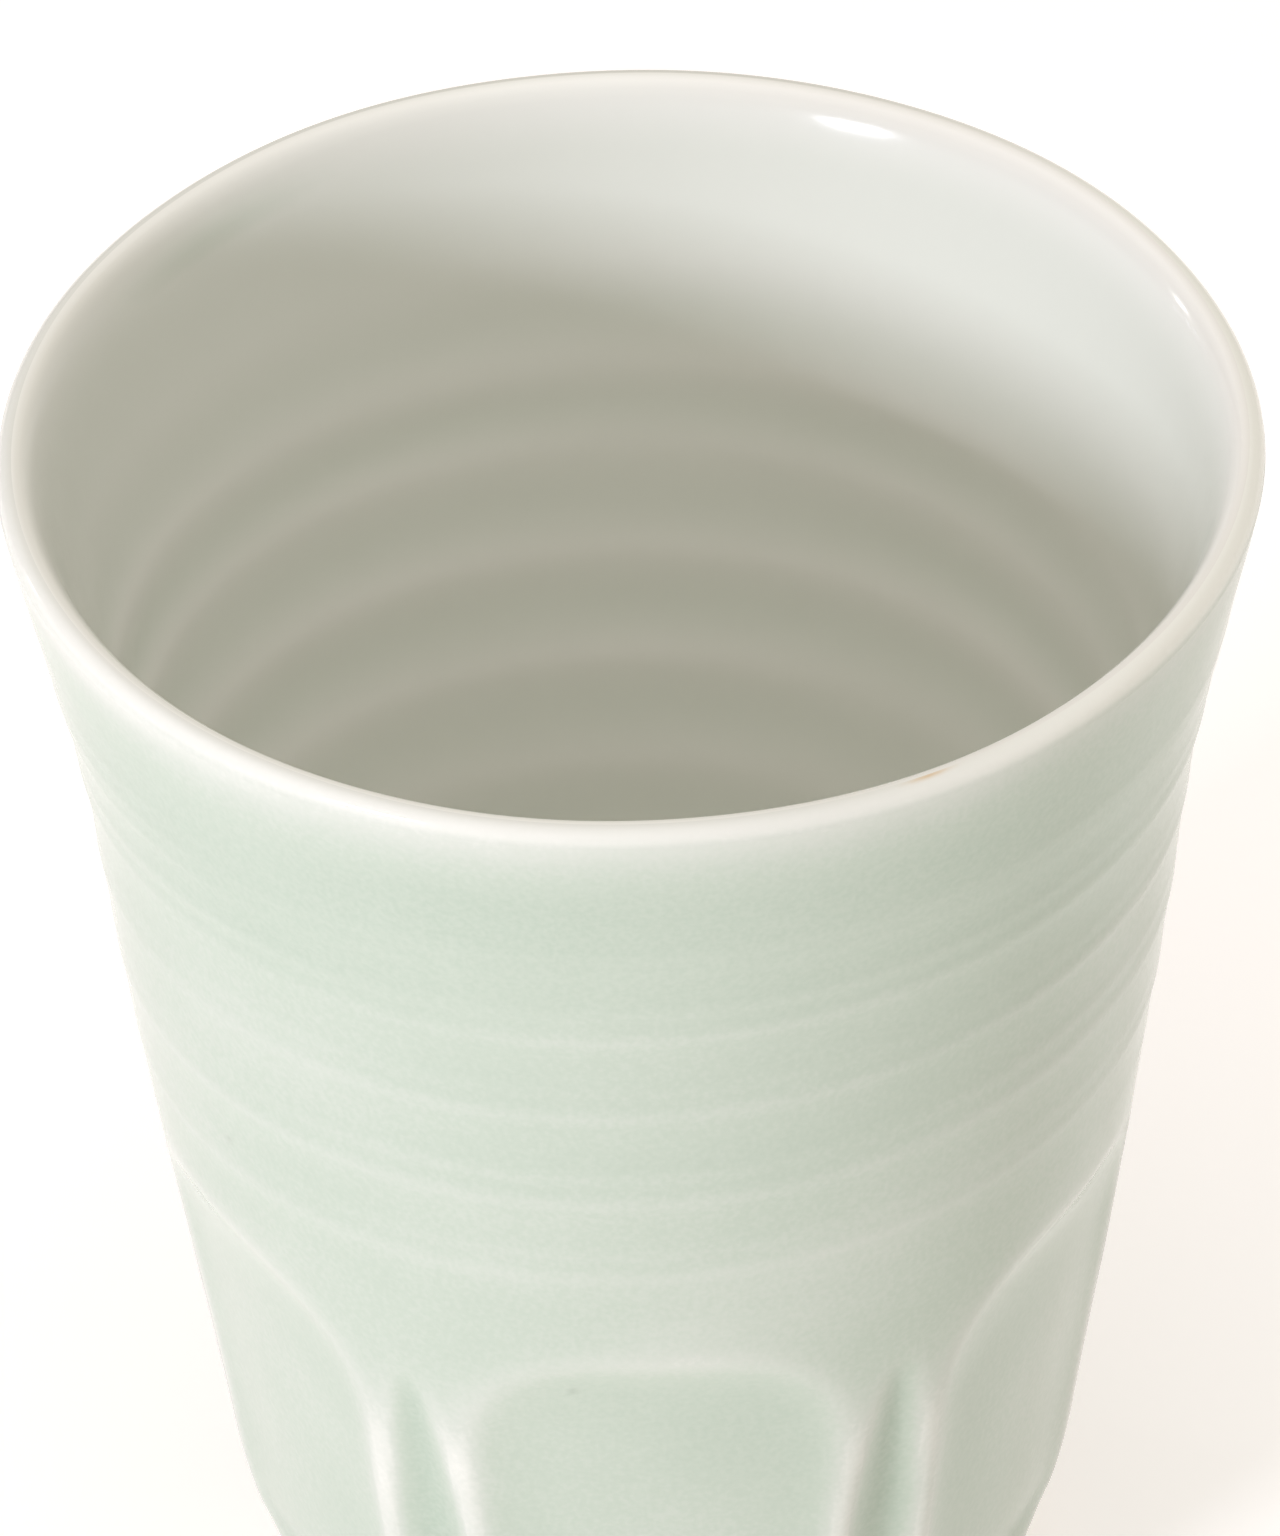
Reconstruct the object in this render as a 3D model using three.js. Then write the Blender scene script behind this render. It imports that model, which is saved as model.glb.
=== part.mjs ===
// A brush holder pot: a thrown and fluted porcelain cup with a flared rim and a trimmed foot ring,
// celadon glaze outside, clear glaze inside and under the foot.
// Millimetres, +Z up. The origin is the centre of the foot ring's resting face, and -Y is the front.
import * as THREE from "three";

// ---- Driving dimensions -------------------------------------------------------------------------
const HEIGHT = 100;
const RIM_RADIUS = 42;
const LIP_ROUND = 1.0; // radius of the rounded lip
const SEGMENTS = 48; // steps round the pot; a multiple of the flutes, so each ridge falls on a step

const FLUTES = {
  count: 6,
  halfAngle: THREE.MathUtils.degToRad(23.5), // of a wide flute, from its middle to its edge
  springZ: 34.5, // where the straight sides end and the arch begins
  archTopZ: 48,
  depth: 1.15,
  flatten: 0.5, // extra depth along the middle, which makes the panel nearly flat
  squareness: 2.6, // of the arch; 2 is an ellipse
  edge: 4.5, // how far in from the edge the full depth is reached
};
const GROOVE = { halfWidth: 3.0, tipZ: 43, taper: 14, depth: 1.2 }; // the narrow cut between two flutes
const CARVING_FADE = { fromZ: 5, toZ: 11 }; // the carving dies out above the foot

const FOOT = { inner: 17.8, outer: 21.2, chamfer: 0.6, height: 3.2, recessZ: 2.6 };
const GLAZE = { outer: 0.42, inner: 0.3, lip: 0.14, base: 0.35, baseRadius: 14 };

// Outlines of the glazed surfaces as [radius, height], from the foot up to the lip's shoulder outside,
// and from the lip's inner shoulder down to the middle of the floor inside.
const OUTER_OUTLINE = [
  [24.2, 3.6], [27.0, 6.6], [28.9, 11.6], [30.0, 18.5], [31.2, 27], [32.6, 37], [34.3, 50],
  [36.1, 64], [37.9, 78], [39.85, 88], [41.05, 94], [41.9, 98.4],
];
const INNER_OUTLINE = [
  [40.0, 98.8], [38.6, 95.5], [36.4, 87], [34.3, 78], [31.6, 64], [29.0, 50], [26.9, 35],
  [25.2, 24], [22.2, 14.6], [15.5, 9.3], [8, 8.1], [0, 7.9],
];

// ---- Shape of the surfaces ----------------------------------------------------------------------
const smooth = THREE.MathUtils.smoothstep;
const asCurve = (points) => new THREE.SplineCurve(points.map(([r, z]) => new THREE.Vector2(r, z)));

// Depth of the carving at angle a round the pot, height z and wall radius r.
function carving(a, z, r) {
  const pitch = (2 * Math.PI) / FLUTES.count;
  const fromMiddle = Math.abs(a - pitch * Math.round(a / pitch));
  const fade = smooth(z, CARVING_FADE.fromZ, CARVING_FADE.toZ);

  const across = fromMiddle / FLUTES.halfAngle;
  const up = Math.max(0, (z - FLUTES.springZ) / (FLUTES.archTopZ - FLUTES.springZ));
  const reach = (across ** FLUTES.squareness + up ** FLUTES.squareness) ** (1 / FLUTES.squareness);
  const inside = (1 - reach) * FLUTES.halfAngle * r;
  const flute = smooth(inside, 0, FLUTES.edge) * (FLUTES.depth + FLUTES.flatten * (1 - across ** 2));

  const taper = Math.sqrt(THREE.MathUtils.clamp((GROOVE.tipZ - z) / GROOVE.taper, 0, 1));
  const width = Math.max(GROOVE.halfWidth * taper, 0.01);
  const off = Math.min(1, Math.abs(pitch / 2 - fromMiddle) * r / width);
  const groove = GROOVE.depth * taper * (1 - off ** 2);
  return fade * Math.max(flute, groove);
}

// A row is one ring of the pot: its glazed point and, straight in from it, the clay's point.
// Each is a function of the angle, giving [radius, height].
function row(point, outward, thicknessAt, cutAt = () => 0) {
  const glazed = (a) => [point.x - cutAt(a), point.y];
  const clay = (a) => {
    const [r, z] = glazed(a);
    const t = thicknessAt(a);
    return [r - outward.x * t, z - outward.y * t];
  };
  return { glazed, clay };
}

function outerRow(curve, u) {
  const point = curve.getPoint(u);
  const tangent = curve.getTangent(u);
  const cutAt = (a) => carving(a, point.y, point.x);
  const towardsLip = smooth(point.y, HEIGHT - 9, HEIGHT - 1);
  // The glaze runs thin over the lip and pools a little in the cuts.
  const thicknessAt = (a) => {
    const wall = GLAZE.outer + 0.12 * smooth(cutAt(a), 0.2, 1.0);
    return THREE.MathUtils.lerp(wall, GLAZE.lip, towardsLip);
  };
  return row(point, new THREE.Vector2(tangent.y, -tangent.x), thicknessAt, cutAt);
}

function innerRow(curve, u) {
  const point = curve.getPoint(u);
  const tangent = curve.getTangent(u);
  const towardsLip = smooth(point.y, HEIGHT - 9, HEIGHT - 1);
  const thickness = THREE.MathUtils.lerp(GLAZE.inner, GLAZE.lip, towardsLip);
  return row(point, new THREE.Vector2(tangent.y, -tangent.x), () => thickness);
}

// A row on the rounded lip, at an angle of turn from its outermost point over the crown.
function lipRow(turn) {
  const outward = new THREE.Vector2(Math.cos(turn), Math.sin(turn));
  const centre = new THREE.Vector2(RIM_RADIUS - LIP_ROUND, HEIGHT - LIP_ROUND);
  return row(centre.addScaledVector(outward, LIP_ROUND), outward, () => GLAZE.lip);
}

const lowerSteps = 15; // rows over the carved lower wall, closer together than above it
const upperSteps = 7;
const lowerShare = 0.56; // share of the outline's parameter that the carved part takes
const outerCurve = asCurve(OUTER_OUTLINE);
const innerCurve = asCurve(INNER_OUTLINE);
const innerSteps = 13;
const range = (n) => [...Array(n).keys()];

const outerRows = [
  ...range(lowerSteps).map((i) => outerRow(outerCurve, (lowerShare * i) / lowerSteps)),
  ...range(upperSteps + 1).map((i) => {
    return outerRow(outerCurve, lowerShare + ((1 - lowerShare) * i) / upperSteps);
  }),
  lipRow(THREE.MathUtils.degToRad(20)),
  lipRow(THREE.MathUtils.degToRad(55)),
];
const crownRow = lipRow(Math.PI / 2);
const innerRows = [
  lipRow(THREE.MathUtils.degToRad(125)),
  lipRow(THREE.MathUtils.degToRad(160)),
  ...range(innerSteps).map((i) => innerRow(innerCurve, i / innerSteps)),
  row(innerCurve.getPoint(1), new THREE.Vector2(0, 1), () => GLAZE.inner), // the middle of the floor
];

// ---- Sub-parts ----------------------------------------------------------------------------------
const fixed = (r, z) => () => [r, z];

// A solid turned about Z from a list of rings, each a function of the angle giving [radius, height].
// From ring claySide on, its faces are split along their other diagonal, so that a coat's hidden side
// has exactly the triangles of the clay that it lies on.
function turned(name, rings, material, claySide = rings.length) {
  const geometry = new THREE.LatheGeometry(rings.map((ring) => new THREE.Vector2(...ring(0))), SEGMENTS);
  const position = geometry.getAttribute("position");
  for (let k = 0; k < position.count; k++) {
    const a = ((Math.floor(k / rings.length) % SEGMENTS) * 2 * Math.PI) / SEGMENTS;
    const [r, z] = rings[k % rings.length](a);
    position.setXYZ(k, r * Math.sin(a), -r * Math.cos(a), z);
  }
  const index = geometry.getIndex();
  const strips = rings.length - 1;
  for (let quad = 0; quad < SEGMENTS * strips; quad++) {
    if (quad % strips < claySide) continue;
    const [a, b, d, c] = range(4).map((n) => index.getX(6 * quad + n));
    [a, b, c, a, c, d].forEach((corner, n) => index.setX(6 * quad + n, corner));
  }
  geometry.computeVertexNormals();
  const mesh = new THREE.Mesh(geometry, material);
  mesh.name = name;
  return mesh;
}

// The clay: recess, foot ring, outer wall, lip, inner wall and floor, from axis to axis.
function porcelainBody() {
  const underside = [
    fixed(0, FOOT.recessZ),
    fixed(GLAZE.baseRadius, FOOT.recessZ),
    fixed(FOOT.inner - 1.4, FOOT.recessZ - 0.4),
    fixed(FOOT.inner - FOOT.chamfer, FOOT.chamfer),
    fixed(FOOT.inner, 0),
    fixed(FOOT.outer, 0),
    fixed(FOOT.outer + FOOT.chamfer, FOOT.chamfer),
    fixed(FOOT.outer + FOOT.chamfer, FOOT.height),
  ];
  const walls = [...outerRows, crownRow, ...innerRows].map((each) => each.clay);
  return turned("porcelain_body", [...underside, ...walls], material(0xf0ece3, 0.75));
}

// The celadon coat, from just above the foot ring to the crown of the lip.
function outerGlaze() {
  const rows = [...outerRows, crownRow];
  const rings = [...rows.map((each) => each.glazed), ...rows.map((each) => each.clay).reverse()];
  return turned("outer_glaze", [...rings, rings[0]], material(0xc6d6c3, 0.15), rows.length);
}

// The clear coat inside, from the crown of the lip down over the floor.
function innerGlaze() {
  const rows = [crownRow, ...innerRows];
  const rings = [...rows.map((each) => each.glazed), ...rows.map((each) => each.clay).reverse()];
  return turned("inner_glaze", [...rings, rings[0]], material(0xe4e3d9, 0.15), rows.length);
}

// The island of clear glaze in the recess under the foot.
function baseGlaze() {
  const bottom = FOOT.recessZ - GLAZE.base;
  const rings = [
    fixed(0, bottom),
    fixed(GLAZE.baseRadius - GLAZE.base, bottom),
    fixed(GLAZE.baseRadius, FOOT.recessZ),
    fixed(0, FOOT.recessZ),
  ];
  return turned("base_glaze", rings, material(0xe6e5dc, 0.2));
}

function material(color, roughness) {
  return new THREE.MeshStandardMaterial({ color, roughness, metalness: 0 });
}

const pot = new THREE.Group();
pot.add(porcelainBody(), outerGlaze(), innerGlaze(), baseGlaze());

export default pot;
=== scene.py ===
"""A thrown and fluted porcelain brush pot in celadon glaze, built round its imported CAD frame.

Each CAD node is replaced by a finer mesh of the same piece: the clay with its foot ring, the
celadon coat outside, the clear coat inside and the island of clear glaze under the foot. The
relief is geometry: throwing lines, arch-topped flutes, the narrow cuts between them, and a
slightly uneven lip. How thick the glaze lies is worked out from that relief, and drives its colour.
"""

import math

import bpy
import numpy as np
from mathutils import Matrix, Vector


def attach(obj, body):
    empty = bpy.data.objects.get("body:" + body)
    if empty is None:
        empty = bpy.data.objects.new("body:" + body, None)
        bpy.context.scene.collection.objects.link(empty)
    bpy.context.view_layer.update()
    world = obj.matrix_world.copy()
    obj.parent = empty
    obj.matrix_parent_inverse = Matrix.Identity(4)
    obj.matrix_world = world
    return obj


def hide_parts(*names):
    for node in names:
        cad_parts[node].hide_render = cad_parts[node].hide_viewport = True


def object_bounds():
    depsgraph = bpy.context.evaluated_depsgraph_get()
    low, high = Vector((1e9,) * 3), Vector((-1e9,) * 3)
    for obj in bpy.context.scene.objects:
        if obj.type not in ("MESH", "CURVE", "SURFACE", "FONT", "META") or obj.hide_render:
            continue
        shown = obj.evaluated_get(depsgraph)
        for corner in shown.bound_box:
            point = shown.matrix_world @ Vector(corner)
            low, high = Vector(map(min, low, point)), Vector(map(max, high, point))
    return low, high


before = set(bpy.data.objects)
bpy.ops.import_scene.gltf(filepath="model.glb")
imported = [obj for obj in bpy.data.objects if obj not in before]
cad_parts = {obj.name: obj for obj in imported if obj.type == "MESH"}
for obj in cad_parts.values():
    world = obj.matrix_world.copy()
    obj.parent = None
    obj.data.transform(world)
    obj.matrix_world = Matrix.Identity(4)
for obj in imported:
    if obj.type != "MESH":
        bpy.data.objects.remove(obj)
cad_low, cad_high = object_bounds()

# ---- Sizes ---------------------------------------------------------------------------------------
# Outlines and reliefs are drawn on a pot 100 units high, so a unit is a millimetre of this one.
TOP = 100
HEIGHT = cad_high.z - cad_low.z
MM = HEIGHT / TOP
RIM = (cad_high.x - cad_low.x) / 2 / MM  # radius over the lip
MEAN_RADIUS = 36

TURN = 2 * math.pi
AROUND = 336  # steps round the pot
ANGLE = np.arange(AROUND) * TURN / AROUND  # 0 at the front (-Y), growing towards +X

# Outlines as (radius, height): up to the lip's round, and from it down to the cup's floor.
OUTER_OUTLINE = [
    (24.2, 3.6), (27.0, 6.6), (28.9, 11.6), (30.0, 18.5), (31.2, 27), (32.6, 37), (34.3, 50),
    (36.1, 64), (37.8, 78), (39.8, 88), (41.05, 94), (41.65, 97), (41.98, 98.79),
]
INNER_OUTLINE = [
    (40.43, 99.82), (39.93, 99.35), (39.45, 98.5), (39.0, 97.3), (38.4, 95.3), (37.6, 92.2),
    (36.3, 87), (34.3, 78), (31.6, 64), (29.0, 50), (26.9, 35),
    (25.2, 24), (22.2, 14.6), (15.5, 9.3), (8, 8.1), (0.4, 7.9),
]
CUP_FLOOR = INNER_OUTLINE[-1][1]
LIP_ROUND = 1.0
LIP_CENTRE = (RIM - LIP_ROUND, TOP - LIP_ROUND)
LIP_FROM, LIP_CROWN, LIP_TO = -12, 90, 125  # degrees over the lip, from outside to inside

FLUTES, FLUTE_HALF, SPRING, ARCH_TOP = 6, math.radians(23.4), 34.5, 47.6
FLUTE_DEPTH, FLUTE_FLAT = 1.25, 0.55  # at the sides, and more in the middle
FLUTE_EDGE, ARCH_SOFTER = 2.4, 0.7  # width of a flute's soft edge, and how much wider at the arch
SQUARENESS = 2.6  # of the arch; 2 is an ellipse
GROOVE_HALF, GROOVE_TIP, GROOVE_TAPER, GROOVE_DEPTH = 3.1, 43.0, 15.0, 1.25
CARVING_FADE = (5, 11)  # heights between which the carving dies out above the foot
CARVING_SOFT = (0.75, 0.6)  # blur of its edges, up and across

FOOT_IN, FOOT_OUT, FOOT_HIGH, FOOT_ROUND, RECESS = 17.8, 21.2, 3.2, 0.6, 2.6
BASE_GLAZE_RADIUS, BASE_GLAZE = 14.0, 0.35
OUTER_GLAZE, INNER_GLAZE, LIP_GLAZE = 0.42, 0.3, 0.14

# The throwing spiral outside: heights of its turns at the front, the turns that stand out, as
# (height, by how much, over what height), and the heights of its three kinds of line.
TURNS = (40.3, 48.3, 56.4, 63.6, 71.9, 79.3, 87.5, 95.3)
STRONG_TURNS = ((79.5, 0.75, 3), (72, 0.7, 3), (63.6, 0.6, 3.5), (87.5, 0.4, 3), (56.4, 0.4, 3))
CREST, SWELL, FAINT = 0.055, 0.04, 0.05
CREST_WIDE, FAINT_WIDE = 0.075, 0.06  # in turns
# The spiral inside: its pitch, the height of one turn at the front, how far its turns drop towards
# the rim, and the heights of its two kinds of line.
INNER_PITCH, INNER_TURN, INNER_DROP = 8.2, 61.45, 2.2
INNER_WIDE, INNER_FINE = 0.09, 0.05
# The lip's uneven height: waves round the pot, their height and phase, and how far it sinks.
LIP_WAVES = ((2, 0.10, 0.6), (5, 0.06, 2.1), (9, 0.03, 0.0))
LIP_SUNK = 0.15


# ---- Outlines and reliefs ------------------------------------------------------------------------
def cubic(t, y, at):
    """The natural cubic spline through the points (t, y), read at the places at."""
    n, h = len(t), np.diff(t)
    system, right = np.eye(n), np.zeros(n)
    for i in range(1, n - 1):
        system[i, i - 1 : i + 2] = h[i - 1], 2 * (h[i - 1] + h[i]), h[i]
        right[i] = 6 * ((y[i + 1] - y[i]) / h[i] - (y[i] - y[i - 1]) / h[i - 1])
    m = np.linalg.solve(system, right)
    k = np.clip(np.searchsorted(t, at) - 1, 0, n - 2)
    up, down = at - t[k], t[k + 1] - at
    bend = (m[k] * down**3 + m[k + 1] * up**3) / (6 * h[k])
    low, high = y[k] / h[k] - m[k] * h[k] / 6, y[k + 1] / h[k] - m[k + 1] * h[k] / 6
    return bend + low * down + high * up


def wall_rows(outline, rows):
    """An outline's rows, evenly spaced along it, as arrays of radius and height."""
    r, z = np.array(outline, float).T
    t = np.concatenate([[0], np.cumsum(np.hypot(np.diff(r), np.diff(z)))])
    at = np.linspace(0, t[-1], rows)
    return np.stack([cubic(t, r, at), cubic(t, z, at)], 1)


def lip_rows(start, stop, rows):
    """Rows over the round of the lip between two angles in degrees, without the first."""
    turn = np.radians(np.linspace(start, stop, rows + 1)[1:])
    r0, z0 = LIP_CENTRE
    return np.stack([r0 + LIP_ROUND * np.cos(turn), z0 + LIP_ROUND * np.sin(turn)], 1)


def normals(rows):
    """Unit normals of an outline's rows, to the right of the way that it runs."""
    along = np.gradient(rows, axis=0)
    along /= np.hypot(*along.T)[:, None]
    return np.stack([along[:, 1], -along[:, 0]], 1)


def smoothstep(x, low, high):
    t = np.clip((x - low) / (high - low), 0, 1)
    return t * t * (3 - 2 * t)


def bell(x, width):
    return np.exp(-((x / width) ** 2) / 2)


def wander(a, z, seed, turns=(1, 2, 3, 5), rise=14.0):
    """A slow, smooth unevenness of about -1 to 1 over the pot, the same each run."""
    phase = np.random.default_rng(seed).uniform(0, TURN, (len(turns), 2))
    waves = [
        np.sin(n * a + p) * np.cos(z / rise * n**0.5 + q)
        for n, (p, q) in zip(turns, phase, strict=True)
    ]
    return sum(waves) / len(turns) ** 0.5


def blur(field, rows_wide, steps_wide):
    """A soft blur of a field of rows by steps, closed round the pot and held at its two ends."""
    out = field
    for axis, width in ((0, rows_wide), (1, steps_wide)):
        reach = max(1, int(3 * width))
        weights = bell(np.arange(-reach, reach + 1), width)
        weights /= weights.sum()
        mode = "edge" if axis == 0 else "wrap"
        pad = [(reach, reach) if i == axis else (0, 0) for i in (0, 1)]
        padded = np.pad(out, pad, mode=mode)
        size = out.shape[axis]
        out = sum(w * np.take(padded, np.arange(k, k + size), axis) for k, w in enumerate(weights))
    return out


def throwing(a, z):
    """The throwing lines: a spiral with crests of uneven height, and faint lines between them."""
    turns = np.interp(z, TURNS, np.arange(len(TURNS))) - a / TURN
    phase = turns - np.round(turns)
    strength = 0.45 + sum(more * bell(z - height, over) for height, more, over in STRONG_TURNS)
    strength *= 1 + 0.35 * wander(a, z, seed=3)
    crest = strength * bell(phase, CREST_WIDE)
    swell = 0.5 * np.cos(TURN * phase) * (1 + 0.5 * wander(a, z, seed=5))
    # One faint line above each crest, which shows best at two heights, and one below it.
    above = 0.6 * (0.7 + bell(z - 81.8, 2) + 0.5 * bell(z - 66.3, 2))
    below = 0.7 * (0.2 + 0.8 * smoothstep(z, 78, 84))
    faint = above * bell(phase - 0.3, FAINT_WIDE) + below * bell(phase + 0.22, FAINT_WIDE)
    return CREST * crest + SWELL * swell + FAINT * faint * (1 + 0.8 * wander(a, z, seed=7))


def carving(a, z, r):
    """Depth of the carved flutes and of the narrow cuts between them."""
    pitch = TURN / FLUTES
    off = np.abs(a - pitch * np.round(a / pitch))
    across = off / FLUTE_HALF
    up = np.maximum(0, (z - SPRING) / (ARCH_TOP - SPRING))
    reach = (across**SQUARENESS + up**SQUARENESS) ** (1 / SQUARENESS)
    inside = np.maximum(0, (1 - reach) * FLUTE_HALF * r)
    edge = FLUTE_EDGE * (1 + ARCH_SOFTER * smoothstep(z, SPRING, ARCH_TOP))
    flute = (1 - np.exp(-inside / edge)) * (FLUTE_DEPTH + FLUTE_FLAT * (1 - across**2))

    taper = np.sqrt(np.clip((GROOVE_TIP - z) / GROOVE_TAPER, 0, 1))
    share = np.minimum(1, (pitch / 2 - off) * r / np.maximum(GROOVE_HALF * taper, 0.01))
    groove = GROOVE_DEPTH * taper * (1 - share**2)
    return np.maximum(flute, groove) * smoothstep(z, *CARVING_FADE)


def around(rows):
    """Angle, height and radius of every point of the rows, as fields of rows by steps."""
    a = np.broadcast_to(ANGLE, (len(rows), AROUND))
    return a, np.broadcast_to(rows[:, 1:], a.shape), np.broadcast_to(rows[:, :1], a.shape)


def lip_wave(a, z):
    """The lip's slightly uneven height, which dies out down the wall."""
    wave = sum(high * np.sin(n * a + phase) for n, high, phase in LIP_WAVES)
    return (wave - LIP_SUNK) * smoothstep(z, 80, TOP)


def shaped(rows, relief):
    """Points of a surface: its outline's rows pushed out by the relief along their normals."""
    n = normals(rows)
    a = ANGLE[None, :]
    r = rows[:, :1] + n[:, :1] * relief
    z = rows[:, 1:] + n[:, 1:] * relief
    lifted = z + lip_wave(a, rows[:, 1:])
    return np.stack([r * np.sin(a), -r * np.cos(a), lifted], 2) * MM


# ---- Mesh making ---------------------------------------------------------------------------------
def turned(name, rings, fields, loop=False, creases=()):
    """One mesh skinned over rings of points; a ring of one point is a pole on the axis.
    fields maps an attribute's name to its values on the first rings and its value on the others.
    The edges round the rings in creases stay sharp."""
    start, vertices = [], []
    for ring in rings:
        start.append(len(vertices))
        vertices.extend(map(tuple, ring))
    faces = []
    pairs = list(zip(range(len(rings) - 1), range(1, len(rings)), strict=True))
    for low, high in pairs + ([(len(rings) - 1, 0)] if loop else []):
        s, e = start[low], start[high]
        lone_low, lone_high = len(rings[low]) == 1, len(rings[high]) == 1
        if lone_low and lone_high:
            continue
        for i in range(AROUND):
            j = (i + 1) % AROUND
            if lone_low:
                faces.append((s, e + j, e + i))
            elif lone_high:
                faces.append((s + i, s + j, e))
            else:
                faces.append((s + i, s + j, e + j, e + i))
    mesh = bpy.data.meshes.new(name)
    mesh.from_pydata(vertices, [], faces)
    mesh.shade_smooth()
    sharp = {start[k % len(rings)] for k in creases}
    for edge in mesh.edges:
        first, last = sorted(edge.vertices)
        edge.use_edge_sharp = any(low <= first and last < low + AROUND for low in sharp)
    for label, (values, other) in fields.items():
        full = np.full(len(vertices), other, np.float32)
        full[: values.size] = values.ravel()
        mesh.attributes.new(label, "FLOAT", "POINT").data.foreach_set("value", full)
    piece = bpy.data.objects.new(name, mesh)
    bpy.context.scene.collection.objects.link(piece)
    return piece


def pole(z):
    return np.array([[0, 0, z * MM]])


def place(piece, node, material):
    piece.data.materials.append(material)
    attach(piece, "root")
    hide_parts(node)


# ---- The surfaces --------------------------------------------------------------------------------
OUTER_ROWS, INNER_ROWS, LIP_ROWS = 232, 180, 12
outer_rows = np.concatenate(
    [wall_rows(OUTER_OUTLINE, OUTER_ROWS), lip_rows(LIP_FROM, LIP_CROWN, LIP_ROWS)]
)
inner_lip, inner_wall = lip_rows(LIP_CROWN, LIP_TO, LIP_ROWS), wall_rows(INNER_OUTLINE, INNER_ROWS)
inner_rows = np.concatenate([outer_rows[-1:], inner_lip, inner_wall[1:]])

OUTER_LONG = 96  # length of the outer outline
ROWS_PER_MM = OUTER_ROWS / OUTER_LONG
STEPS_PER_MM = AROUND / (TURN * MEAN_RADIUS)


def softened(field, up, across):
    """A field of the outer surface, blurred by so many millimetres up and across."""
    return blur(field, up * ROWS_PER_MM, across * STEPS_PER_MM)


def outer_relief():
    a, z, r = around(outer_rows)
    cut = softened(carving(a, z, r), *CARVING_SOFT)
    lines = throwing(a, z) * smoothstep(z, 49, 55) * (1 - smoothstep(z, 86, 95))
    soft = 0.06 * wander(a, z, seed=11) * (1 - smoothstep(z, 90, 99))
    return lines * (1 - np.clip(cut / 0.3, 0, 1)) - cut + soft  # carving takes the lines away


def inner_relief():
    a, z, _ = around(inner_rows)
    height = z + INNER_DROP * smoothstep(z, 72, 80)
    turns = (height - INNER_TURN) / INNER_PITCH - a / TURN - 0.06 * np.sin(a)
    wide = np.cos(TURN * turns) * (INNER_WIDE + 0.04 * wander(a, z, seed=21))
    fine = INNER_FINE * bell(turns - np.round(turns), 0.1) * (1 + 0.6 * wander(a, z, seed=23))
    strength = 0.45 + 0.55 * bell(z - 65, 7) + 0.35 * bell(z - 80, 3.5)
    strength *= 1 - 0.55 * smoothstep(np.sin(a), 0.1, 0.8) * smoothstep(z, 68, 76)
    fade = strength * (1 - smoothstep(z, 80, 94)) * smoothstep(z, 9, 22)
    return (wide + fine) * fade + 0.05 * wander(a, z, seed=25) * (1 - smoothstep(z, 90, 98))


def glaze_pool_and_shade(relief, z, a):
    """How thickly the glaze lies, 0 to 1: thin on crests, edges and lip, pooled in hollows; with
    painted shade and light added by height.
    """
    fine = relief - softened(relief, 0.8, 0.8)
    broad = relief - softened(relief, 2.2, 2.2)
    pool_and_shade = np.maximum(0.5 - 1.4 * fine - 0.65 * broad, 0.17)
    # Painted shade and light by height: the glaze is pushed darker and greener under the rim, and
    # paler over the arches and low down, for how the light falls there.
    pool_and_shade += 0.14 * smoothstep(z, 74, 88) - 0.07 * bell(z - 57, 7)
    pool_and_shade -= 0.03 * (1 - smoothstep(z, 30, 48))
    pool_and_shade += 0.05 * wander(a, z, seed=31, turns=(2, 3, 4, 7), rise=9)
    # It drained off the lip, more so on the left.
    thin = 0.35 + 0.25 * smoothstep(np.sin(a), 0.2, 0.9)
    drained = thin + (1 - thin) * smoothstep(TOP - z, 0.8, 8.2)
    return np.clip(pool_and_shade, 0, 1) * drained


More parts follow.
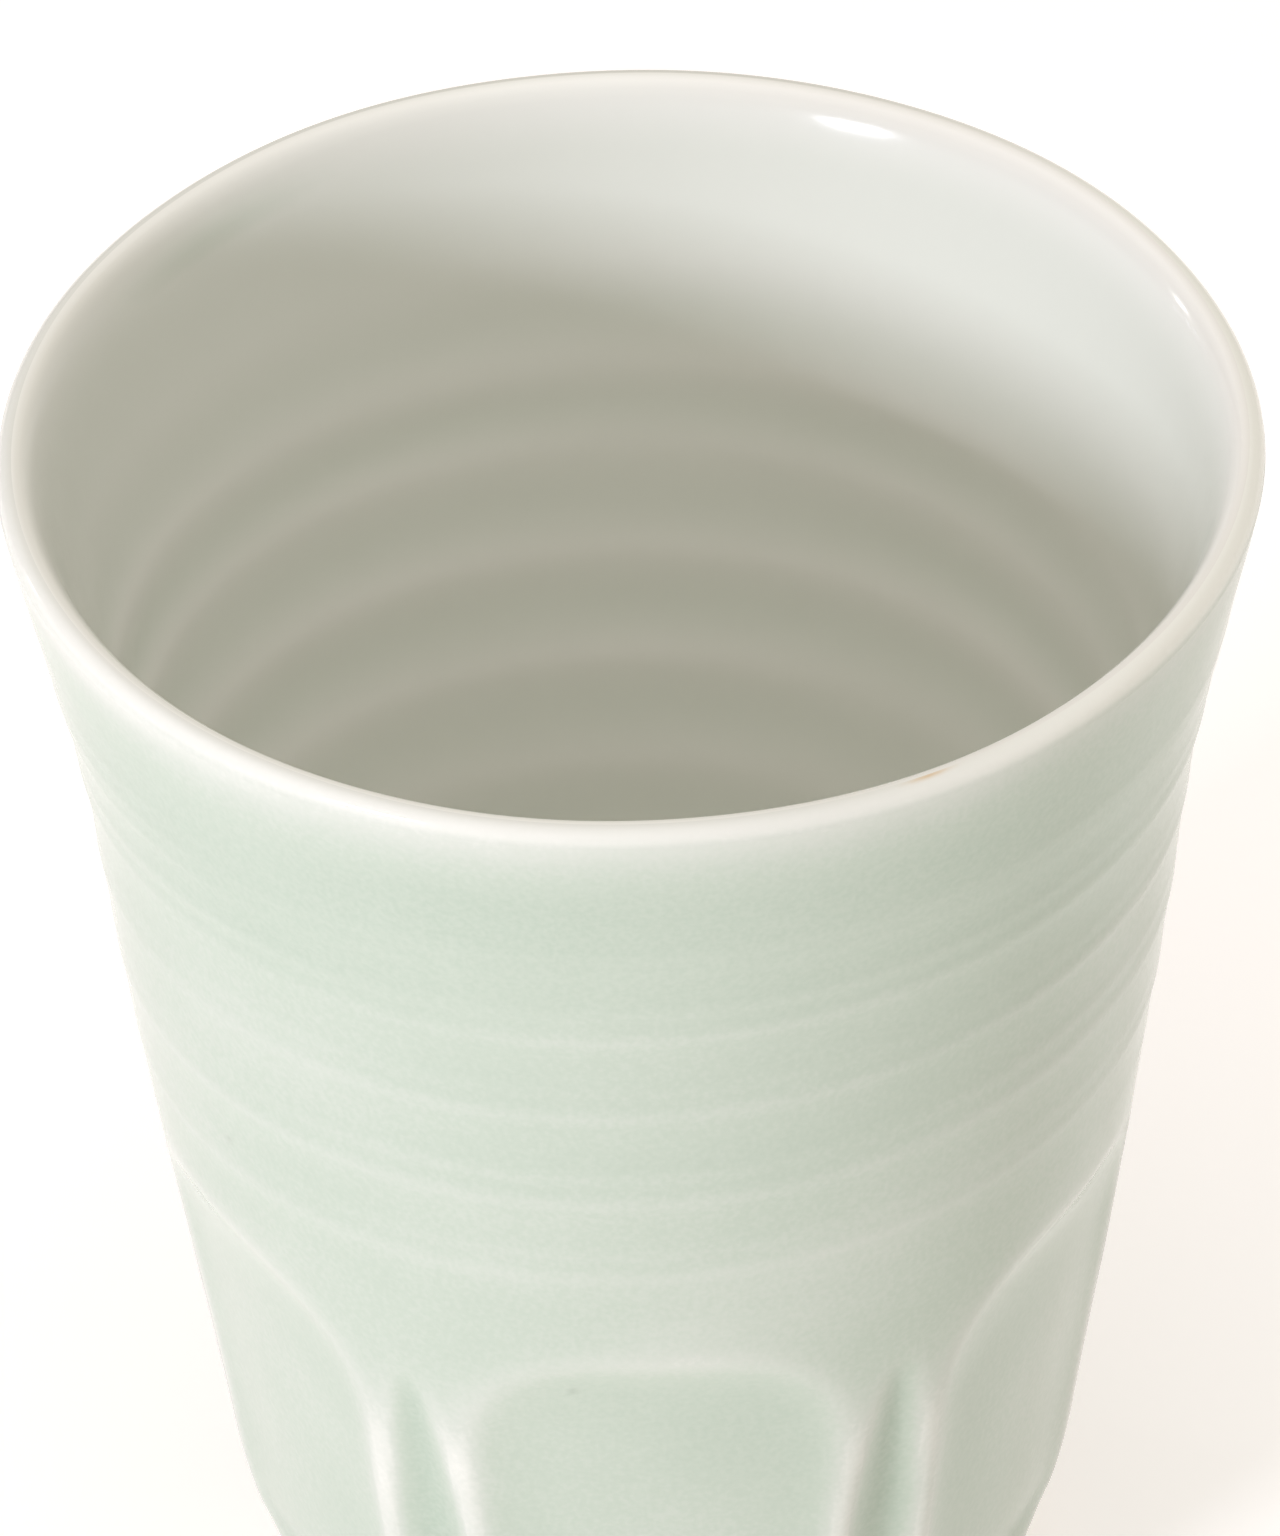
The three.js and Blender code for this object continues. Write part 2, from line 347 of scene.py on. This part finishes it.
# ---- Materials -----------------------------------------------------------------------------------
class Nodes:
    """A material's node tree, with one short call for each node."""

    def __init__(self, name):
        self.material = bpy.data.materials.new(name)
        self.material.use_nodes = True
        self.tree = self.material.node_tree
        self.shader = self.tree.nodes["Principled BSDF"]

    def add(self, kind, inputs=None, **settings):
        node = self.tree.nodes.new(kind)
        for key, value in settings.items():
            setattr(node, key, value)
        for key, value in (inputs or {}).items():
            self.set(node.inputs[key], value)
        return node

    def set(self, socket, value):
        if isinstance(value, bpy.types.NodeSocket):
            self.tree.links.new(value, socket)
        else:
            socket.default_value = value

    def shade(self, **sockets):
        for key, value in sockets.items():
            self.set(self.shader.inputs[key.replace("_", " ")], value)

    def field(self, name):
        return self.add("ShaderNodeAttribute", attribute_name=name).outputs["Fac"]

    def noise(self, size, detail, rough=0.5):
        """Noise whose features are about size metres across."""
        where = self.add("ShaderNodeTexCoord").outputs["Object"]
        inputs = {"Vector": where, "Scale": 1 / size, "Detail": detail, "Roughness": rough}
        return self.add("ShaderNodeTexNoise", inputs).outputs["Fac"]

    def math(self, operation, *values):
        node = self.add("ShaderNodeMath", operation=operation)
        for socket, value in zip(node.inputs, values):
            self.set(socket, value)
        return node.outputs[0]

    def span(self, value, from_low, from_high, to_low, to_high):
        names = ("Value", "From Min", "From Max", "To Min", "To Max")
        inputs = dict(zip(names, (value, from_low, from_high, to_low, to_high), strict=True))
        return self.add("ShaderNodeMapRange", inputs).outputs[0]

    def spread(self, noise, low, high):
        """Noise, most of which lies from 0.3 to 0.7, spread from low to high."""
        return self.span(noise, 0.3, 0.7, low, high)

    def ramp(self, value, stops):
        node = self.add("ShaderNodeValToRGB", {"Fac": value})
        ramp = node.color_ramp
        while len(ramp.elements) < len(stops):
            ramp.elements.new(1.0)
        for element, (position, colour) in zip(ramp.elements, stops, strict=True):
            element.position = position
            element.color = (*colour, 1)
        return node.outputs["Color"]

    def mix(self, fac, a, b):
        node = self.add("ShaderNodeMix", data_type="RGBA")
        for name, value in (("Factor", fac), ("A", a), ("B", b)):
            plain = isinstance(value, tuple)
            self.set(node.inputs[name], (*value, 1) if plain else value)
        return node.outputs["Result"]

    def bump(self, height, depth, strength):
        inputs = {"Height": height, "Distance": depth, "Strength": strength}
        return self.add("ShaderNodeBump", inputs).outputs["Normal"]

    def gloss(self, colour, cloud, peel, painted_glow):
        """A glossy glaze, with orange peel about peel metres across, and a painted glow at the thin
        lip: emission that stands in for light soaking through.
        """
        skin = self.bump(self.noise(peel, detail=1.0), 0.00001, strength=0.5)
        self.shade(Base_Color=colour, Roughness=self.spread(cloud, 0.12, 0.16), Normal=skin)
        self.shade(IOR=1.45, Specular_IOR_Level=0.4, Emission_Color=PAINTED_GLOW)
        self.shade(Emission_Strength=self.math("MULTIPLY", self.field("painted_glow"), painted_glow))


PORCELAIN = (0.925, 0.907, 0.865)
CELADON = [  # from bare to pooled
    (0.0, (0.90, 0.88, 0.83)), (0.12, (0.725, 0.73, 0.675)), (0.25, (0.61, 0.64, 0.575)),
    (0.5, (0.52, 0.582, 0.495)), (1.0, (0.414, 0.498, 0.405)),
]
# The first colour is the white of the lip where the glaze thins, also a painted highlight along the
# crown; the second is a painted warm tint of light through the thin inner lip.
WHITE_LIP_AND_HIGHLIGHT, INNER_LIP_PAINTED_LIGHT = (0.90, 0.87, 0.825), (0.84, 0.80, 0.755)
PAINTED_GLOW = (1.0, 0.93, 0.86, 1)  # painted glow: emission standing in for light that soaks through the thin porcelain of the lip
RUST, PINHOLE_DARK = (0.72, 0.47, 0.23), (0.16, 0.17, 0.13)
# The pooled clear glaze's colour is also used for a painted shadow under the rim.
CLEAR_POOLED_AND_SHADOW, CLEAR_CLOUD = (0.68, 0.73, 0.64), (0.70, 0.71, 0.62)
CLAY_LOW, CLAY_HIGH = (0.80, 0.775, 0.71), (0.87, 0.845, 0.785)
CLAY_FLASHED, CLAY_SPECK = (0.74, 0.52, 0.35), (0.45, 0.36, 0.26)


def celadon_glaze():
    m = Nodes("celadon_glaze")
    speckle = m.noise(0.00045, detail=1.0)
    cloud = m.noise(0.012, detail=3.0)
    pool_and_shade = m.math("ADD", m.field("pool_and_shade"), m.spread(cloud, -0.035, 0.035))
    mottle = m.math("MULTIPLY", m.spread(speckle, -0.13, 0.13), m.field("pool_and_shade"))
    colour = m.ramp(m.math("ADD", pool_and_shade, mottle), CELADON)
    colour = m.mix(m.field("pinhole"), colour, PINHOLE_DARK)
    # White lip where the glaze thins, with a painted highlight along the crown.
    colour = m.mix(m.field("lip"), colour, WHITE_LIP_AND_HIGHLIGHT)
    colour = m.mix(m.field("fleck"), colour, RUST)
    m.gloss(colour, cloud, peel=0.0011, painted_glow=0.16)
    return m.material


def clear_glaze():
    m = Nodes("clear_glaze")
    cloud = m.noise(0.015, detail=3.0)
    colour = m.ramp(m.field("pool_and_shade"), [(0.0, PORCELAIN), (1.0, CLEAR_POOLED_AND_SHADOW)])
    colour = m.mix(m.spread(cloud, 0.0, 0.05), colour, CLEAR_CLOUD)
    # A painted warm tint of light through the thin lip, strongest on the right.
    colour = m.mix(m.field("lip"), colour, INNER_LIP_PAINTED_LIGHT)
    m.gloss(colour, cloud, peel=0.0012, painted_glow=0.09)
    return m.material


def bare_porcelain():
    m = Nodes("bare_porcelain")
    grain = m.noise(0.0003, detail=3.0, rough=0.6)
    specks = m.span(m.noise(0.0009, detail=0.0), 0.74, 0.80, 0.0, 0.5)
    colour = m.ramp(grain, [(0.3, CLAY_LOW), (0.7, CLAY_HIGH)])
    colour = m.mix(m.field("flash"), colour, CLAY_FLASHED)
    colour = m.mix(specks, colour, CLAY_SPECK)
    m.shade(Base_Color=colour, Roughness=m.spread(grain, 0.7, 0.85))
    m.shade(Normal=m.bump(grain, 0.00004, strength=0.6))
    return m.material


# ---- Pieces --------------------------------------------------------------------------------------
CLEAR_GLAZE = clear_glaze()  # inside the cup and under the foot
HIDDEN_STEP = 6  # the hidden sides need only every sixth row


def glaze_depth(thick, rows):
    """A coat's thickness on each row, which falls off towards the lip."""
    return thick - (thick - LIP_GLAZE) * smoothstep(rows[:, 1:], 90, 99)


outer = outer_relief()
inner = inner_relief()
outer_face = shaped(outer_rows, outer)
outer_clay = shaped(outer_rows, outer - glaze_depth(OUTER_GLAZE, outer_rows))
inner_face = shaped(inner_rows, inner)
inner_clay = shaped(inner_rows, inner - glaze_depth(INNER_GLAZE, inner_rows))


def thinned(surface):
    """Every sixth row of a hidden surface, its two ends kept."""
    keep = sorted({*range(0, len(surface), HIDDEN_STEP), len(surface) - 1})
    return [surface[i] for i in keep]


def spot(a, z, angle, height, wide, high):
    """A soft spot at an angle in degrees and a height, wide and high in millimetres."""
    off = (a - math.radians(angle) + math.pi) % TURN - math.pi
    return bell(off * MEAN_RADIUS, wide) * bell(z - height, high)


def celadon_coat():
    a, z, r = around(outer_rows)
    rng = np.random.default_rng(41)
    holes = 0.35 * spot(a, z, angle=-9.4, height=43.9, wide=0.22, high=0.22)
    for angle, height in zip(rng.uniform(40, 320, 7), rng.uniform(12, 88, 7), strict=True):
        holes = np.maximum(holes, 0.4 * spot(a, z, angle, height, wide=0.2, high=0.2))
    bared = 0.15 * smoothstep(z, 96.5, 99) * (1 + 2 * smoothstep(-np.sin(a), 0.4, 1))
    # Painted glow at the lip: emission for light soaking through, strongest on the right, where the
    # window lights the lip from inside; it also brightens the crown's highlight.
    painted_glow = (0.2 + 0.8 * smoothstep(np.sin(a), 0.2, 0.9)) * smoothstep(z, 98.2, 99.7)
    fleck = 0.8 * spot(a, r, angle=26.8, height=41.05, wide=0.8, high=0.13)  # across the crown
    fields = {
        "pool_and_shade": (glaze_pool_and_shade(outer, z, a), 0.5),
        "pinhole": (holes, 0.0),
        # The lip is whiter where the glaze thins; along the crown the whitening is also a painted
        # highlight of the window.
        "lip": (np.maximum(bared, 0.8 * smoothstep(z, 98.3, 99.8)), 0.0),
        "painted_glow": (painted_glow, 0.0),
        "fleck": (fleck * (z > 99.3), 0.0),
    }
    rings = [*outer_face, *reversed(thinned(outer_clay))]
    ends = (0, len(outer_face) - 1, len(outer_face), -1)
    piece = turned("celadon_coat", rings, fields, loop=True, creases=ends)
    place(piece, "outer_glaze", celadon_glaze())


def clear_coat():
    a, z, _ = around(inner_rows)
    hollow = inner - blur(inner, 4, 2)
    pool_and_shade = np.clip(0.25 - 2.0 * hollow + 0.5 * (1 - smoothstep(z, 8, 16)), 0, 1)
    pool_and_shade = pool_and_shade * smoothstep(TOP - z, 0.8, 5)
    painted_shadow = 0.55 * spot(a, z, angle=226, height=97.0, wide=6, high=0.9)  # painted shadow: a soft darker, greener patch under the back-left rim
    # Painted warm tint of light through the thin lip, weighted to the right, where the light falls.
    lip = smoothstep(z, 98.0, 99.6) * (0.2 + 0.6 * smoothstep(np.sin(a), -0.2, 0.5))
    fields = {
        "pool_and_shade": (np.maximum(pool_and_shade, painted_shadow), 0.3),
        "lip": (lip, 0.0),
        # Painted glow along the inner crown.
        "painted_glow": (smoothstep(z, 99.1, 99.9), 0.0),
    }
    middle = (pole(CUP_FLOOR), pole(CUP_FLOOR - INNER_GLAZE))
    rings = [*inner_face, *middle, *reversed(thinned(inner_clay))]
    piece = turned("clear_coat", rings, fields, loop=True, creases=(0, -1))
    place(piece, "inner_glaze", CLEAR_GLAZE)


def clay_pot():
    """The clay, of which the foot ring and the rim of the recess stay bare."""
    quarter = np.radians(np.linspace(-90, 0, 7))
    wide, high = FOOT_ROUND * np.cos(quarter), FOOT_ROUND * (1 + np.sin(quarter))
    underside = [(r, RECESS) for r in np.linspace(1.5, BASE_GLAZE_RADIUS + 0.5, 10)]
    underside += [(15.6, 2.5), (16.5, 2.1), (17.0, 1.4)]  # the recess's corner
    underside += zip(FOOT_IN - wide[::-1], high[::-1], strict=True)
    underside += [(r, 0) for r in np.linspace(FOOT_IN + 0.2, FOOT_OUT - 0.2, 6)]
    underside += zip(FOOT_OUT + wide, high, strict=True)
    underside += [(FOOT_OUT + FOOT_ROUND, z) for z in np.linspace(0.9, FOOT_HIGH, 6)]
    rows = np.array(underside)
    a, z, r = around(rows)
    trimming = 0.03 * np.sin(r * 9 + a) * smoothstep(z, 0.3, 1.0)
    rings = [pole(RECESS), *shaped(rows, trimming), *thinned(outer_clay)]
    rings += [*thinned(inner_clay)[1:], pole(CUP_FLOOR - INNER_GLAZE)]
    flash = 0.55 * smoothstep(z, 2.1, 3.3) * (r > FOOT_OUT)
    fields = {"flash": (np.concatenate([[0.0], flash.ravel()]), 0.5)}
    piece = turned("clay_pot", rings, fields)
    place(piece, "porcelain_body", bare_porcelain())


def base_coat():
    """The island of glaze under the foot, with a rounded edge."""
    inset = BASE_GLAZE_RADIUS - BASE_GLAZE
    rows = [(r, RECESS - BASE_GLAZE) for r in np.linspace(1, inset - 0.5, 12)]
    for t in np.radians(np.linspace(-90, 60, 7)):
        rise = 0.54 * (math.sin(t) - 0.87)  # from -1 to 0
        rows.append((inset + BASE_GLAZE * math.cos(t), RECESS + BASE_GLAZE * rise))
    rows = np.array(rows)
    a, _, r = around(rows)
    face = shaped(rows, 0.03 * wander(a, r, seed=51))
    rings = [pole(RECESS - BASE_GLAZE), *face, pole(RECESS)]
    piece = turned("base_coat", rings, {"pool_and_shade": (np.full(1 + a.size, 0.35), 0.35)})
    place(piece, "base_glaze", CLEAR_GLAZE)


celadon_coat()
clear_coat()
clay_pot()
base_coat()


# ---- Floor, light and camera ---------------------------------------------------------------------
FLOOR_GREY, FLOOR_LIGHT, FLOOR_STRENGTH = (0.93, 0.90, 0.90, 1), (1.0, 0.935, 0.925, 1), 0.39
ROOM_LIGHT = (1.0, 0.98, 0.84, 1)
WINDOW_LIGHT, CEILING_LIGHT = (0.87, 0.90, 1.0), (1.0, 0.975, 0.98)
SENSOR, LENS = 36, 291  # millimetres
CAMERA_UP, CAMERA_ROLL = math.radians(38.9), math.radians(-1.45)


def floor():
    """A plain floor, which isn't there when it is seen from below."""
    half = 30 * HEIGHT
    corners = [(-half, -half, 0), (half, -half, 0), (half, half, 0), (-half, half, 0)]
    mesh = bpy.data.meshes.new("floor")
    mesh.from_pydata(corners, [], [(0, 1, 2, 3)])
    piece = bpy.data.objects.new("floor", mesh)
    bpy.context.scene.collection.objects.link(piece)
    m = Nodes("floor")
    m.shade(Base_Color=FLOOR_GREY, Roughness=0.7)
    m.shade(Emission_Color=FLOOR_LIGHT, Emission_Strength=FLOOR_STRENGTH)
    behind = m.add("ShaderNodeNewGeometry").outputs["Backfacing"]
    clear = m.add("ShaderNodeBsdfTransparent").outputs["BSDF"]
    either = m.add("ShaderNodeMixShader", {0: behind, 1: m.shader.outputs["BSDF"], 2: clear})
    m.set(m.tree.nodes["Material Output"].inputs["Surface"], either.outputs["Shader"])
    mesh.materials.append(m.material)


def softbox(name, azimuth, elevation, distance, size, power, colour=(1, 1, 1), seen=True):
    """An area light aimed at the pot; azimuth 0 is in front, growing towards +X."""
    light = bpy.data.lights.new(name, "AREA")
    light.shape = "RECTANGLE"
    light.size, light.size_y = size
    light.energy, light.color = power, colour
    lamp = bpy.data.objects.new(name, light)
    a, e = math.radians(azimuth), math.radians(elevation)
    target = Vector((0, 0, 0.7 * HEIGHT))
    away = Vector((math.sin(a) * math.cos(e), -math.cos(a) * math.cos(e), math.sin(e)))
    lamp.location = target + distance * away
    lamp.rotation_euler = away.to_track_quat("Z", "Y").to_euler()
    lamp.visible_glossy = seen
    bpy.context.scene.collection.objects.link(lamp)


def studio():
    """A room that is darker low down to the left, a window, a small lamp and a wide ceiling."""
    world = bpy.data.worlds.new("studio")
    world.use_nodes = True
    tree = world.node_tree
    backdrop = tree.nodes["Background"]
    backdrop.inputs["Color"].default_value = ROOM_LIGHT
    across = tree.nodes.new("ShaderNodeVectorMath")
    across.operation, across.inputs[1].default_value = "DOT_PRODUCT", (1, 0, 1.2)
    tree.links.new(tree.nodes.new("ShaderNodeTexCoord").outputs["Generated"], across.inputs[0])
    side = tree.nodes.new("ShaderNodeMapRange")
    spans = {"From Min": -0.9, "From Max": 0.1, "To Min": 0.02, "To Max": 0.398}
    for name, value in spans.items():
        side.inputs[name].default_value = value
    tree.links.new(across.outputs["Value"], side.inputs["Value"])
    tree.links.new(side.outputs["Result"], backdrop.inputs["Strength"])
    bpy.context.scene.world = world
    softbox("window", -43, 12.8, 1.1, size=(0.19, 0.16), power=6.9, colour=WINDOW_LIGHT)
    softbox("lamp", -117.5, 5.5, 1.0, size=(0.03, 0.06), power=0.32)
    softbox("ceiling", 0, 88, 1.3, size=(1.2, 1.2), power=7.2, colour=CEILING_LIGHT, seen=False)
    bpy.context.scene.view_settings.view_transform = "Standard"


def camera():
    """A long lens from in front and above, rolled a little as the pot leans in its picture."""
    data = bpy.data.cameras.new("camera")
    data.sensor_fit, data.sensor_height, data.lens = "VERTICAL", SENSOR, LENS
    eye = bpy.data.objects.new("camera", data)
    distance = 20 * RIM * MM
    target = Vector((0.0001, 0, 0.715 * HEIGHT))
    away = Vector((0, -math.cos(CAMERA_UP), math.sin(CAMERA_UP)))
    eye.matrix_world = (
        Matrix.Translation(target + distance * away)
        @ away.to_track_quat("Z", "Y").to_matrix().to_4x4()
        @ Matrix.Rotation(CAMERA_ROLL, 4, "Z")
    )
    bpy.context.scene.collection.objects.link(eye)
    bpy.context.scene.camera = eye


floor()
studio()
camera()
